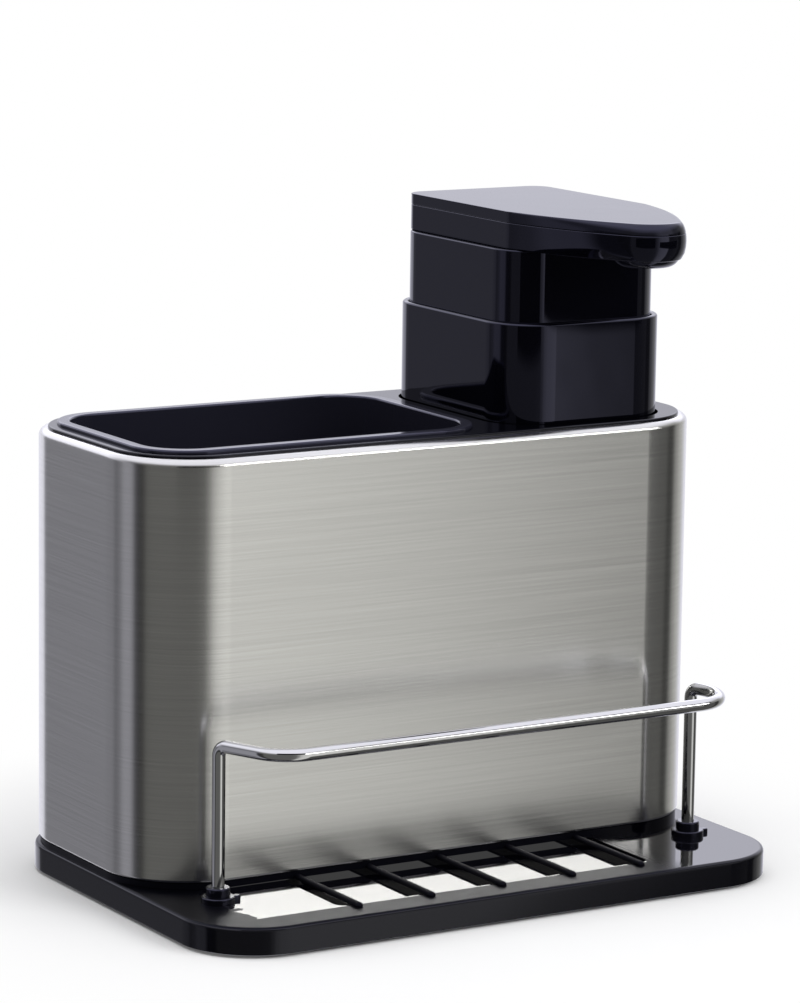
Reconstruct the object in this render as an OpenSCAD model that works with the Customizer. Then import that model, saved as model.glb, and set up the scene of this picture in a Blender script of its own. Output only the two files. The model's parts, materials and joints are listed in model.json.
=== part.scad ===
// Soap pump caddy: a steel sleeve on a moulded tray, with a utensil bin, a pump bottle and a rail.
// The origin is on the table under the middle of the tray. The front is -Y and up is +Z.

/* [Tray] */
// Width of the tray, left to right
tray_w = 220; // [210:1:235]
// Depth of the tray, front to back
tray_d = 150; // [146:1:165]
// Height of the tray's edge
tray_h = 9; // [8:0.5:12]
// Corner radius of the tray seen from above
tray_r = 26; // [20:0.5:30]
// Radius along the tray's top edge
tray_edge_r = 1.5; // [0.8:0.1:2]
// Outer wall of the hollow tray
tray_wall = 2.5; // [2:0.1:3]
// Thickness of the tray's deck
deck_t = 3; // [2.6:0.1:3.5]
// Height of the plinth that carries the sleeve
plinth_h = 2.2; // [1.5:0.1:4]
// How far the plinth stays inside the sleeve's outline
plinth_inset = 0.5; // [0.3:0.1:1.5]
// Height of the locating wall inside the foot of the sleeve
locator_h = 5; // [3:0.5:8]
// Thickness of the locating wall
locator_t = 2; // [1.5:0.1:3]
// Width of the sunk pan in front of the sleeve
pan_w = 120; // [100:1:140]
// Reach of the pan in front of the sleeve
pan_reach = 36.5; // [30:0.5:40]
// Depth of the pan below the deck
pan_depth = 1.2; // [0.8:0.1:1.4]
// Corner radius of the pan
pan_r = 3; // [1:0.5:6]
// Number of drip ribs
rib_count = 5; // [3:1:6]
// Distance from one drip rib to the next
rib_pitch = 27.15; // [20:0.05:28]
// Width of a drip rib
rib_w = 2.8; // [2:0.1:3.5]
// Reach of the drip ribs in front of the sleeve
rib_reach = 40.3; // [38:0.1:42]
// Pitch of the stiffening grid under the tray
grid_pitch = 21.5; // [18:0.5:22]
// Thickness of the stiffening grid
grid_t = 1.8; // [1.2:0.1:2.5]

/* [Feet and screws] */
// Radius of a rubber foot
foot_r = 8; // [6:0.5:9]
// How far a rubber foot stands out below the tray
foot_proud = 1; // [0.5:0.1:2]
// Depth of the pocket that holds a rubber foot
foot_pocket = 1.6; // [1:0.1:2]
// Distance of the feet from the tray's sides
foot_side = 22; // [18:1:30]
// Distance of the feet from the tray's front and back
foot_end = 17; // [15:1:30]
// Radius of the screws' shank
screw_r = 1.75; // [1.5:0.05:2]
// Length of the screws' shank
screw_l = 13; // [11:0.5:13.5]
// Radius of the screws' head
screw_head_r = 3.4; // [3:0.1:3.8]
// Height of the screws' head
screw_head_h = 2.3; // [1.8:0.1:2.6]
// Height of the seat of the screws' head above the tray's lower edge
screw_seat = 3.4; // [3:0.1:4]

/* [Sleeve] */
// Depth of the sleeve, front to back
sleeve_d = 101; // [98:1:108]
// Height of the sleeve
sleeve_h = 138.8; // [130:0.2:150]
// Corner radius of the sleeve
sleeve_r = 30; // [26:0.5:34]
// Thickness of the steel sheet
sheet_t = 0.6; // [0.5:0.1:0.8]
// Radius of the sheet's curl at the top
top_curl_r = 2.5; // [1.5:0.1:3]
// Radius of the sheet's curl at the foot
foot_curl_r = 1.2; // [1:0.1:1.6]
// Flat flange past the top curl
top_flange = 3; // [2:0.1:3.5]
// Flat flange past the foot curl
foot_flange = 4.1; // [3.6:0.1:4.3]

/* [Inner frame] */
// How far the frame's lip stays inside the sleeve's outline
lip_inset = 3; // [2:0.1:4]
// Height of the lip above the sleeve
lip_h = 1; // [0.8:0.1:2]
// Radius along the lip's top edge
lip_edge_r = 0.6; // [0.3:0.1:0.7]
// Depth of the frame's band inside the mouth of the sleeve
band_h = 6; // [4:0.5:10]
// Wall of the bottle well
well_wall = 1.6; // [1.2:0.1:2]
// Height of the well's floor above the tray's plinth
well_floor_h = 7; // [6:0.5:10]
// Thickness of the well's floor
well_floor_t = 2; // [1.5:0.1:3]
// Radius of the drain hole in the well's floor
well_drain_r = 5; // [3:0.5:8]
// Distance of the frame's two legs from the sleeve's middle
leg_x = 60; // [50:1:66]
// Width of a leg
leg_w = 14; // [12:0.5:18]
// Thickness of a leg
leg_t = 3.4; // [2.5:0.1:3.5]
// Thickness of the screw boss at the foot of a leg
boss_t = 7; // [6.6:0.1:7.1]
// Height of the screw boss at the foot of a leg
boss_h = 11; // [9:0.5:11]
// Distance of the two screws under the bottle well from its middle
well_screw_x = 20; // [12:1:22]
// Radius of the screw bosses under the bottle well
well_boss_r = 4.5; // [3.5:0.1:6]

/* [Utensil bin] */
// How far the bin's wall stays inside the sleeve's outline
bin_inset = 9.9; // [9.6:0.1:12]
// Distance from the bin's right-hand wall to the bottle's well
bin_gap = 7.6; // [6:0.1:18]
// Corner radius of the bin's wall
bin_r = 16.8; // [14:0.2:20]
// Wall of the bin
bin_wall = 1.6; // [1.2:0.1:2]
// Gap between the bin's floor and the tray's plinth
bin_floor_gap = 2; // [1:0.5:6]
// Thickness of the bin's floor
bin_floor_t = 2; // [1.5:0.1:3]
// How far the bin's wall draws in towards its floor
bin_draft = 4; // [3.8:0.1:5]
// How far the bin's rim stands out past its wall
bin_rim_out = 2.8; // [2.2:0.1:2.8]
// Height of the bin's rim above the frame's lip
bin_rim_h = 1.2; // [0.8:0.1:2]
// Length of the drain slots in the bin's floor
slot_l = 50; // [30:1:60]
// Width of the drain slots
slot_w = 4; // [3:0.5:6]
// Number of drain slots
slot_count = 5; // [3:1:7]
// Distance from one drain slot to the next
slot_pitch = 17; // [10:1:18]

/* [Rail] */
// Radius of the wire
wire_r = 2.15; // [1.8:0.05:2.3]
// Height of the rail's wire above the deck
rail_h = 51.3; // [40:0.1:70]
// Distance of the rail's posts from the middle
post_x = 91.3; // [85:0.1:93]
// Distance of the posts in front of the sleeve
post_front = 12.8; // [12:0.1:14.5]
// Reach of the rail's front run in front of its posts
rail_reach = 23.4; // [23.2:0.1:26]
// Radius of the bend at the top of a post
post_bend_r = 3.2; // [2.8:0.1:3.4]
// How far the left arm leans inwards on its way to the front
left_lean = -23; // [-30:1:0]
// How far the right arm leans outwards on its way to the front
right_lean = 20; // [0:1:22]
// Radius of the bend at the front left
left_bend_r = 14; // [10:0.5:18]
// Radius of the bend at the front right
right_bend_r = 14.8; // [10:0.1:15]
// Radius of the collars' flange
collar_r = 5.5; // [4.5:0.1:6.5]
// Thickness of the collars' flange
collar_flange_t = 2; // [1.5:0.1:3]
// Radius of the collars' neck
collar_neck_r = 4; // [3.4:0.1:4.4]
// Height of the collars
collar_h = 5; // [4:0.5:7]
// Length of the tab on a collar's flange
collar_tab = 2.4; // [1.5:0.1:3]
// Radius of the push-on clips under the deck
clip_r = 6; // [5:0.1:6.5]
// Thickness of the push-on clips
clip_t = 0.8; // [0.5:0.1:1]
// How far the posts reach below the deck
post_tail = 3; // [2.5:0.1:3.5]

/* [Bottle] */
// Width of the bottle
bottle_w = 66; // [62:0.5:68]
// Corner radius of the bottle
bottle_r = 17.3; // [15.8:0.1:19]
// Distance from the bottle's right side to the sleeve's outline
bottle_side = 13.3; // [12.5:0.1:15]
// Distance from the bottle's front and back to the sleeve's outline
bottle_end = 8.7; // [8.5:0.1:10.5]
// How far the bottle stands out above the sleeve
bottle_out = 34.8; // [28:0.2:45]
// Wall of the bottle
bottle_wall = 2; // [1.6:0.1:2.2]
// Thickness of the bottle's floor
bottle_floor_t = 2.5; // [2:0.1:4]
// Thickness of the neck plate
plate_t = 2.5; // [2:0.1:3.5]
// Width of the ledge that carries the neck plate
ledge_w = 1.2; // [0.8:0.1:2]
// Radius of the neck
neck_r = 18; // [16:0.1:19]
// Wall of the neck
neck_wall = 2.4; // [2:0.1:3]
// Height of the neck above its plate
neck_h = 9.2; // [8:0.1:11]
// How far the threads stand out
thread_h = 0.5; // [0.3:0.05:0.8]
// Number of thread turns
thread_count = 2; // [1:1:2]
// Distance from one thread turn to the next
thread_pitch = 3.2; // [2.8:0.1:3.6]

/* [Pump] */
// Stroke of the press head
stroke = 12; // [8:0.5:12]
// Wall of the screw closure
closure_wall = 2.2; // [1.8:0.1:3]
// Thickness of the screw closure's top
closure_top = 2; // [1.6:0.1:2.2]
// Thickness of the gasket
gasket_t = 1.2; // [1:0.1:1.6]
// Thickness of the pump cylinder's flange
flange_t = 1; // [0.8:0.1:1.4]
// Bore radius of the pump cylinder
cylinder_r = 6.8; // [6.6:0.1:8]
// Wall of the pump cylinder
cylinder_wall = 1.2; // [1:0.1:1.6]
// Length of the pump cylinder below its flange
cylinder_l = 72; // [66:1:80]
// Radius of the pump cylinder's head above its flange
cylinder_head_r = 10.5; // [9.5:0.1:11]
// Wall of the chaplet
chaplet_wall = 1.8; // [1.4:0.1:2.2]
// Height of the chaplet above the closure
chaplet_h = 4.8; // [4.4:0.1:5]
// Thickness of the chaplet's top
chaplet_top = 1.8; // [1.4:0.1:2]
// Radius of the stem
stem_r = 4; // [3.6:0.1:4.4]
// Bore radius of the stem
stem_bore_r = 2.2; // [1.8:0.1:2.4]
// Radius of the stem's stop shoulder
shoulder_r = 6.4; // [5.6:0.1:6.4]
// Thickness of the stem's stop shoulder
shoulder_t = 2; // [1.5:0.1:3]
// Length of the stem above the chaplet
stem_out = 18; // [16.4:0.1:18.4]
// Radius of the plunger rod
rod_r = 2.7; // [2.4:0.1:3]
// Length of the stem inside the pump cylinder
stem_in = 27; // [22:0.5:29]
// Length of the plunger rod's plug inside the stem
rod_plug = 8; // [5:0.5:12]
// Thickness of the collar at the foot of the plunger rod
rod_collar_t = 2; // [1.5:0.1:3]
// Free travel of the piston on its rod
piston_play = 0.8; // [0.5:0.1:0.9]
// Height of the piston
piston_h = 8; // [6:0.5:10]
// Outer radius of the spring
spring_r = 4.9; // [4.4:0.1:5.4]
// Radius of the spring's wire
spring_wire_r = 0.45; // [0.35:0.05:0.6]
// Number of turns of the spring
spring_turns = 9; // [6:1:11]
// Height of the ball cage
cage_h = 5; // [4:0.5:7]
// Radius of the inlet ball
ball_r = 2.4; // [2.2:0.1:2.6]
// How far the inlet ball can rise
ball_rise = 1.2; // [0.8:0.1:2]
// Radius of the dip tube
dip_r = 3; // [2.6:0.1:3.2]
// Wall of the dip tube
dip_wall = 0.9; // [0.7:0.1:1]
// How far the dip tube reaches into its socket
dip_socket = 9; // [6:1:12]
// Gap between the dip tube and the bottle's floor
dip_gap = 0.8; // [0.5:0.1:0.9]

/* [Press head] */
// How far the press skirt stays inside the bottle's outline
skirt_inset = 2.4; // [2.3:0.1:4]
// Height of the press skirt that shows above the bottle
skirt_out = 24.3; // [22:0.1:27]
// Depth of the press skirt inside the bottle's mouth
skirt_in = 2.5; // [1.5:0.1:3]
// Wall and top of the press skirt
skirt_wall = 2; // [1.6:0.1:2.4]
// Radius of the stem socket in the press skirt
socket_r = 6.6; // [6:0.1:8]
// How far the press head stays inside the skirt's side
head_inset = 2.5; // [1.5:0.1:4]
// Distance from the skirt's back to the head's back
head_back_inset = 2.1; // [1:0.1:4]
// Corner radius at the head's back
head_back_r = 6.7; // [4:0.1:10]
// Length of the head's straight sides
head_side_l = 65.5; // [55:0.5:70]
// Reach of the nose in front of the skirt
nose_reach = 41.7; // [36:0.1:46]
// Radius of the nose's tip
nose_r = 10.5; // [9:0.1:12]
// Bulge of the nose's curved sides
nose_bulge = 2.4; // [1:0.1:3]
// Angle at which the nose's curved sides meet its round tip
nose_turn = 30; // [20:1:34]
// How far the nose bellies out at its widest place
nose_belly = 2.6; // [1.5:0.1:3]
// Height of the nose's widest place above the head's underside
nose_belly_h = 6.1; // [5:0.1:6.2]
// Height of the head's lower part
head_h = 8.8; // [8.6:0.1:11]
// Wall of the head's lower part
head_wall = 2; // [2:0.1:2.4]
// Thickness of the head's cover
cover_t = 3.8; // [3:0.1:5]
// Depth of the cover's locating rim
cover_rim = 1.2; // [0.8:0.1:1.5]
// Width of the cover's locating rim
cover_rim_w = 1.5; // [1:0.1:2]
// How far the spout hangs below the nose
spout_drop = 2.5; // [2.3:0.1:3]
// Radius of the spout
spout_r = 11.2; // [10:0.1:11.3]
// Radius along the spout's lower edge
spout_edge_r = 4; // [2:0.1:4]
// Radius of the nozzle tube
tube_r = 3.1; // [2.8:0.1:3.2]
// Bore radius of the nozzle tube
tube_bore_r = 2; // [1.6:0.1:2.2]

/* [Clearances] */
// Gap of a slip fit, on each side
slip = 0.4; // [0.3:0.05:0.5]
// Radial gap of a running fit
run_gap = 0.05; // [0.03:0.01:0.1]
// Gap between the bottle and its well, on each side
bottle_gap = 1; // [0.6:0.1:1.2]
// Gap left below a pressed head
end_gap = 0.5; // [0.4:0.1:1]

/* [Hidden] */
$fn = 64;
// Overrun of every cut past the face it opens
cut = 1;
// Overlap where two solids of one piece grow together
weld = 0.2;
// Facets of a corner in the shapes that are blended
blend_fn = 32;
// Steps of a bend of the rail, and sides of its wire
bend_steps = 8;
wire_sides = 14;
// Steps of a turn of the spring, and sides of its wire
spring_steps = 16;
spring_sides = 6;
// Steps of a curved side of the head, and of half its round tip
side_steps = 12;
tip_steps = 12;
// Steps of the nose's belly in each of the head's two pieces
belly_steps = 4;

// Levels, from the table up
tray_z = foot_proud;
deck_z = tray_z + tray_h;
deck_under = deck_z - deck_t;
plinth_z = deck_z + plinth_h;
sleeve_top = plinth_z + sleeve_h;
lip_z = sleeve_top + lip_h;
well_floor_z = plinth_z + well_floor_h;
bottle_top = sleeve_top + bottle_out;
skirt_z = bottle_top - skirt_in;
plate_z = skirt_z - stroke - end_gap;
neck_top = plate_z + neck_h;
flange_z = neck_top + gasket_t;
closure_seat = flange_z + flange_t;
closure_z = closure_seat + closure_top;
chaplet_z = closure_z + chaplet_h;
cylinder_head_z = chaplet_z - chaplet_top;
cylinder_foot = flange_z - cylinder_l;
stem_top = chaplet_z + stem_out;
skirt_top = bottle_top + skirt_out;
cover_z = skirt_top + head_h;
stem_foot = cylinder_head_z - stem_in;
rod_foot = stem_foot - piston_play - piston_h - rod_collar_t;
seat_z = cylinder_foot - ball_r;
ball_z = seat_z + sqrt(pow(ball_r, 2) - pow(dip_r - dip_wall, 2)) + run_gap;
cage_z = cylinder_foot + cylinder_wall;

// Places seen from above
sleeve_y = tray_d / 2 - sleeve_d / 2;
sleeve_front = sleeve_y - sleeve_d / 2;
pump_x = tray_w / 2 - bottle_side - bottle_w / 2;
bottle_d = sleeve_d - 2 * bottle_end;
post_y = sleeve_front - post_front;
mouth_inset = top_curl_r + top_flange + slip;
foot_inset = foot_curl_r + foot_flange + slip;
leg_y = sleeve_d / 2 - mouth_inset - boss_t / 2;
bin_left = -tray_w / 2 + bin_inset;
bin_right = pump_x - bottle_w / 2 - bottle_gap - well_wall - bin_gap;
bin_w = bin_right - bin_left;
bin_d = sleeve_d - 2 * bin_inset;
bin_x = (bin_left + bin_right) / 2;
bin_h = lip_z - plinth_z - bin_floor_gap;
well_w = bottle_w + 2 * bottle_gap;
well_d = bottle_d + 2 * bottle_gap;
well_r = bottle_r + bottle_gap;
skirt_w = bottle_w - 2 * skirt_inset;
skirt_d = bottle_d - 2 * skirt_inset;
skirt_r = bottle_r - skirt_inset;
head_half = skirt_w / 2 - head_inset;
head_back = skirt_d / 2 - head_back_inset;
side_end = head_back - head_side_l;
nose_y = -skirt_d / 2 - nose_reach + nose_r;
spring_foot = cage_z + cage_h + spring_wire_r;
spring_top = rod_foot - spring_wire_r;
screw_places = [
    [-leg_x, sleeve_y - leg_y], [-leg_x, sleeve_y + leg_y],
    [pump_x - well_screw_x, sleeve_y], [pump_x + well_screw_x, sleeve_y]
];

// Rounded rectangle
module plan(w, d, r) {
    square([w - 2 * r, d], center = true);
    square([w, d - 2 * r], center = true);
    for (x = [-1, 1], y = [-1, 1]) translate([x * (w / 2 - r), y * (d / 2 - r)]) circle(r);
}

// Block on a rounded rectangle
module block(w, d, r, h) {
    linear_extrude(height = h) plan(w, d, r);
}

// Profile led round a rounded rectangle. The profile's x = 0 lies on the outline, and +x is outwards.
module around(w, d, r) {
    for (i = [0:3]) {
        x = (i == 0 || i == 3) ? 1 : -1;
        y = (i < 2) ? 1 : -1;
        translate([x * (w / 2 - r), y * (d / 2 - r), 0])
            rotate(i * 90) rotate_extrude(angle = 90) translate([r, 0]) children();
    }
    for (turn = [0, 180]) rotate(turn) {
        translate([w / 2, d / 2 - r, 0]) rotate([90, 0, 0]) linear_extrude(height = d - 2 * r) children();
        translate([-(w / 2 - r), d / 2, 0])
            rotate([90, 0, 90]) linear_extrude(height = w - 2 * r) children();
    }
}

// Block with its top edge rounded
module soft_block(w, d, r, h, edge) {
    block(w - 2 * edge, d - 2 * edge, r - edge, h);
    around(w, d, r) {
        translate([-edge - weld, 0]) square([edge + weld, h - edge]);
        translate([-edge - weld, h - edge - weld]) square([weld, edge + weld]);
        intersection() {
            translate([-edge, h - edge]) circle(edge);
            translate([-edge - weld, h - edge - weld]) square([edge + weld, edge + weld]);
        }
    }
}

// Tube along Z
module pipe(r, bore, h) {
    difference() {
        cylinder(r = r, h = h);
        translate([0, 0, -cut]) cylinder(r = bore, h = h + 2 * cut);
    }
}

// Places for the pieces of the pump and for the pieces of the sleeve
module at_pump(z) {
    translate([pump_x, sleeve_y, z]) children();
}

module at_sleeve(z) {
    translate([0, sleeve_y, z]) children();
}

// Drip rib: a bar with a round top and a round front end, from the plinth forwards
module drip_rib() {
    r = rib_w / 2;
    bar_l = rib_reach + plinth_inset - r;
    rotate([90, 0, 0]) cylinder(r = r, h = bar_l);
    translate([0, -bar_l, 0]) sphere(r);
    translate([-r, -bar_l, -pan_depth - weld]) cube([rib_w, bar_l, pan_depth + weld]);
}

// Stiffening grid under the deck, with solid pads for the feet and the screws
module tray_hollow() {
    hollow_h = tray_h - deck_t + cut;
    inner_w = tray_w - 2 * tray_wall;
    inner_d = tray_d - 2 * tray_wall;
    grid_x = floor(inner_w / grid_pitch / 2);
    grid_y = floor(inner_d / grid_pitch / 2);
    difference() {
        translate([0, 0, tray_z - cut]) block(inner_w, inner_d, tray_r - tray_wall, hollow_h);
        for (i = [-grid_x:grid_x])
            translate([i * grid_pitch - grid_t / 2, -tray_d / 2, 0]) cube([grid_t, tray_d, deck_z]);
        for (i = [-grid_y:grid_y])
            translate([-tray_w / 2, i * grid_pitch - grid_t / 2, 0]) cube([tray_w, grid_t, deck_z]);
        for (p = screw_places) translate([p[0], p[1], 0]) cylinder(r = 2 * screw_head_r, h = deck_z);
        for_feet() cylinder(r = foot_r + tray_wall, h = deck_z);
    }
    for (x = [-1, 1]) translate([x * post_x, post_y, tray_z - cut]) cylinder(r = clip_r + cut, h = hollow_h);
}

module for_feet() {
    for (x = [-1, 1], y = [-1, 1])
        translate([x * (tray_w / 2 - foot_side), y * (tray_d / 2 - foot_end), 0]) children();
}

// Places of the frame's two legs. The outer face of a leg is y = 0 and it lies towards +y.
module for_legs() {
    for (y = [-1, 1]) translate([-leg_x, y * (sleeve_d / 2 - mouth_inset), 0])
        rotate(y < 0 ? 0 : 180) children();
}

module base_tray() {
    color([0.09, 0.09, 0.11]) difference() {
        union() {
            difference() {
                union() {
                    translate([0, 0, tray_z]) soft_block(tray_w, tray_d, tray_r, tray_h, tray_edge_r);
                    at_sleeve(deck_z - weld) block(tray_w - 2 * plinth_inset, sleeve_d - 2 * plinth_inset,
                        sleeve_r - plinth_inset, plinth_h + weld);
                    at_sleeve(plinth_z - weld) difference() {
                        block(tray_w - 2 * foot_inset, sleeve_d - 2 * foot_inset, sleeve_r - foot_inset,
                            locator_h + weld);
                        inner = foot_inset + locator_t;
                        block(tray_w - 2 * inner, sleeve_d - 2 * inner, sleeve_r - inner, locator_h + cut);
                        translate([pump_x, 0, weld])
                            block(well_w + 2 * (well_wall + slip), sleeve_d, well_r, locator_h + cut);
                        for_legs() translate([-leg_w / 2 - slip, -cut, weld])
                            cube([leg_w + 2 * slip, boss_t + 2 * cut, locator_h + cut]);
                    }
                }
                translate([0, sleeve_front + plinth_inset - pan_reach / 2, deck_z - pan_depth])
                    block(pan_w, pan_reach, pan_r, pan_depth + cut);
                tray_hollow();
            }
            for (i = [0:rib_count - 1])
                translate([(i - (rib_count - 1) / 2) * rib_pitch, sleeve_front + plinth_inset, deck_z])
                    drip_rib();
        }
        for (p = screw_places) translate([p[0], p[1], tray_z - cut]) {
            cylinder(r = screw_r + slip, h = tray_h + plinth_h + 2 * cut);
            cylinder(r = screw_head_r + slip, h = screw_seat + cut);
        }
        for (x = [-1, 1]) translate([x * post_x, post_y, 0])
            cylinder(r = wire_r + run_gap, h = deck_z + cut);
        for_feet() cylinder(r = foot_r + run_gap, h = tray_z + foot_pocket);
    }
}

module rubber_feet() {
    color([0.13, 0.13, 0.13]) for_feet() {
        cylinder(r1 = foot_r - foot_proud, r2 = foot_r, h = foot_proud);
        translate([0, 0, foot_proud]) cylinder(r = foot_r, h = foot_pocket);
    }
}

module base_screws() {
    seat_z = tray_z + screw_seat;
    drive_w = screw_head_h / 2;
    color([0.72, 0.72, 0.74]) for (p = screw_places) translate([p[0], p[1], seat_z]) {
        cylinder(r = screw_r, h = screw_l - screw_r);
        translate([0, 0, screw_l - screw_r]) cylinder(r1 = screw_r, r2 = drive_w / 2, h = screw_r);
        translate([0, 0, -screw_head_h]) difference() {
            cylinder(r1 = screw_head_r - drive_w / 2, r2 = screw_head_r, h = screw_head_h);
            for (turn = [0, 90]) rotate(turn) translate([-screw_head_r / 2, -drive_w / 2, -cut])
                cube([screw_head_r, drive_w, cut + drive_w]);
        }
    }
}

// Quarter of a curled edge, with the flange that follows it
module curl(r, flange) {
    intersection() {
        difference() {
            circle(r);
            circle(r - sheet_t);
        }
        square(r + cut);
    }
    translate([-flange, r - sheet_t]) square([flange, sheet_t]);
}

module steel_sleeve() {
    color([0.72, 0.72, 0.71]) at_sleeve(plinth_z) around(tray_w, sleeve_d, sleeve_r) {
        translate([-sheet_t, foot_curl_r]) square([sheet_t, sleeve_h - foot_curl_r - top_curl_r]);
        translate([-top_curl_r, sleeve_h - top_curl_r]) curl(top_curl_r, top_flange);
        translate([-foot_curl_r, foot_curl_r]) mirror([0, 1]) curl(foot_curl_r, foot_flange);
    }
}

// Leg of the frame with the boss for its screw
module frame_leg() {
    translate([-leg_w / 2, 0, plinth_z]) cube([leg_w, leg_t, sleeve_top - band_h + weld - plinth_z]);
    translate([-leg_w / 2, 0, plinth_z]) cube([leg_w, boss_t, boss_h]);
}

module inner_frame() {
    mouth_w = tray_w - 2 * mouth_inset;
    mouth_d = sleeve_d - 2 * mouth_inset;
    mouth_r = sleeve_r - mouth_inset;
    color([0.09, 0.09, 0.11]) difference() {
        union() {
            at_sleeve(sleeve_top) soft_block(tray_w - 2 * lip_inset, sleeve_d - 2 * lip_inset,
                sleeve_r - lip_inset, lip_h, lip_edge_r);
            at_sleeve(sleeve_top - band_h) block(mouth_w, mouth_d, mouth_r, band_h + weld);
            at_pump(plinth_z) block(well_w + 2 * well_wall, well_d + 2 * well_wall, well_r + well_wall,
                sleeve_top - plinth_z);
            at_sleeve(0) for_legs() frame_leg();
        }
        at_pump(well_floor_z) block(well_w, well_d, well_r, sleeve_top);
        at_pump(plinth_z - cut) difference() {
            block(well_w, well_d, well_r, well_floor_h - well_floor_t + cut);
            for (x = [-1, 1])
                translate([x * well_screw_x, 0, 0]) cylinder(r = well_boss_r, h = well_floor_h);
        }
        at_pump(plinth_z) cylinder(r = well_drain_r, h = well_floor_h + cut);
        translate([bin_x, sleeve_y, sleeve_top - band_h - cut])
            block(bin_w + 2 * slip, bin_d + 2 * slip, bin_r + slip, band_h + lip_h + 2 * cut);
        for (p = screw_places) translate([p[0], p[1], plinth_z - cut])
            cylinder(r = screw_r + run_gap, h = screw_seat + screw_l + tray_z - plinth_z + cut + end_gap);
    }
}

// Tub with a draft: a rounded rectangle that is smaller at its foot
module tub(w, d, r, h, draft) {
    hull() {
        translate([0, 0, h - weld]) linear_extrude(height = weld) plan(w, d, r, $fn = blend_fn);
        linear_extrude(height = weld) plan(w - 2 * draft, d - 2 * draft, r - draft, $fn = blend_fn);
    }
}

module utensil_bin() {
    rim_w = bin_rim_out + bin_wall;
    outer_w = bin_w + 2 * bin_rim_out;
    outer_d = bin_d + 2 * bin_rim_out;
    rim_r = 0.8 * bin_rim_h;
    color([0.10, 0.10, 0.12]) translate([bin_x, sleeve_y, lip_z - bin_h]) {
        difference() {
            tub(bin_w, bin_d, bin_r, bin_h + bin_rim_h / 2, bin_draft);
            translate([0, 0, bin_floor_t]) tub(bin_w - 2 * bin_wall, bin_d - 2 * bin_wall, bin_r - bin_wall,
                bin_h + bin_rim_h, bin_draft);
            for (i = [0:slot_count - 1])
                translate([(i - (slot_count - 1) / 2) * slot_pitch, 0, -cut])
                    block(slot_w, slot_l, slot_w / 2 - weld, bin_floor_t + 2 * cut);
        }
        translate([0, 0, bin_h]) around(outer_w, outer_d, bin_r + bin_rim_out) {
            translate([-rim_w, 0]) square([rim_w, bin_rim_h - rim_r]);
            translate([rim_r - rim_w, 0]) square([rim_w - 2 * rim_r, bin_rim_h]);
            for (x = [rim_r - rim_w, -rim_r]) translate([x, bin_rim_h - rim_r]) intersection() {
                circle(rim_r);
                translate([-rim_r, 0]) square([2 * rim_r, rim_r]);
            }
        }
    }
}

function arm_l(lean, bend_r) = (rail_reach - bend_r * (1 + sin(lean))) / cos(lean) - post_bend_r;
function flip(v) = [-v[0], v[1], v[2]];

// Middle line of one side of the rail, drawn for the right: post, top bend, arm and front bend.
// Each point comes with its direction and a normal.
function wire_side(lean, bend_r) = let (
    out = [sin(lean), -cos(lean), 0], up = [0, 0, 1], post = [post_x, post_y, 0], top = deck_z + rail_h,
    c = post + (post_bend_r + arm_l(lean, bend_r)) * out - bend_r * [cos(lean), sin(lean), 0]
) concat(
    [[post + (deck_under - post_tail) * up, up, -out]],
    [for (i = [0:bend_steps]) let (a = 90 * i / bend_steps)
        [post + post_bend_r * (1 - cos(a)) * out + (top - post_bend_r * (1 - sin(a))) * up,
            cos(a) * up + sin(a) * out, sin(a) * up - cos(a) * out]],
    [for (i = [0:bend_steps]) let (a = lean - (90 + lean) * i / bend_steps)
        [[c[0] + bend_r * cos(a), c[1] + bend_r * sin(a), top], [sin(a), -cos(a), 0], up]]
);

// Tube of the given radius and number of sides, swept along points that each have a direction and a normal
module swept(path, r, sides) {
    last = len(path) - 1;
    points = [for (q = path) let (side = cross(q[1], q[2])) for (j = [0:sides - 1])
        q[0] + r * (cos(360 * j / sides) * q[2] + sin(360 * j / sides) * side)];
    skin = [for (i = [0:last - 1], j = [0:sides - 1]) let (a = i * sides, k = (j + 1) % sides)
        each [[a + j, a + sides + j, a + sides + k], [a + j, a + sides + k, a + k]]];
    polyhedron(points, concat(skin, [[for (j = [0:sides - 1]) j]],
        [[for (j = [sides - 1:-1:0]) last * sides + j]]));
}

module wire_rail() {
    left = wire_side(left_lean, left_bend_r);
    path = concat(wire_side(right_lean, right_bend_r),
        [for (i = [len(left) - 1:-1:0]) [flip(left[i][0]), -flip(left[i][1]), flip(left[i][2])]]);
    color([0.80, 0.80, 0.80]) swept(path, wire_r, wire_sides);
}

module rail_collars() {
    bore = wire_r + run_gap;
    edge = collar_flange_t / 4;
    color([0.09, 0.09, 0.11]) for (x = [-1, 1]) translate([x * post_x, post_y, deck_z]) {
        rotate_extrude() {
            translate([bore, 0]) square([collar_r - bore, collar_flange_t - edge]);
            translate([bore, 0]) square([collar_r - bore - edge, collar_flange_t]);
            translate([bore, 0]) square([collar_neck_r - bore, collar_h - edge]);
            translate([bore, 0]) square([collar_neck_r - bore - edge, collar_h]);
        }
        translate([collar_r - collar_tab, -collar_tab / 2, 0])
            cube([2 * collar_tab, collar_tab, collar_flange_t - edge]);
    }
}

module rail_clips() {
    color([0.62, 0.63, 0.65]) for (x = [-1, 1]) translate([x * post_x, post_y, deck_under - clip_t])
        difference() {
            pipe(clip_r, wire_r + run_gap, clip_t);
            for (turn = [0:60:300]) rotate(turn)
                translate([0, -clip_t / 2, -cut]) cube([wire_r + clip_t, clip_t, clip_t + 2 * cut]);
        }
}

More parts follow.
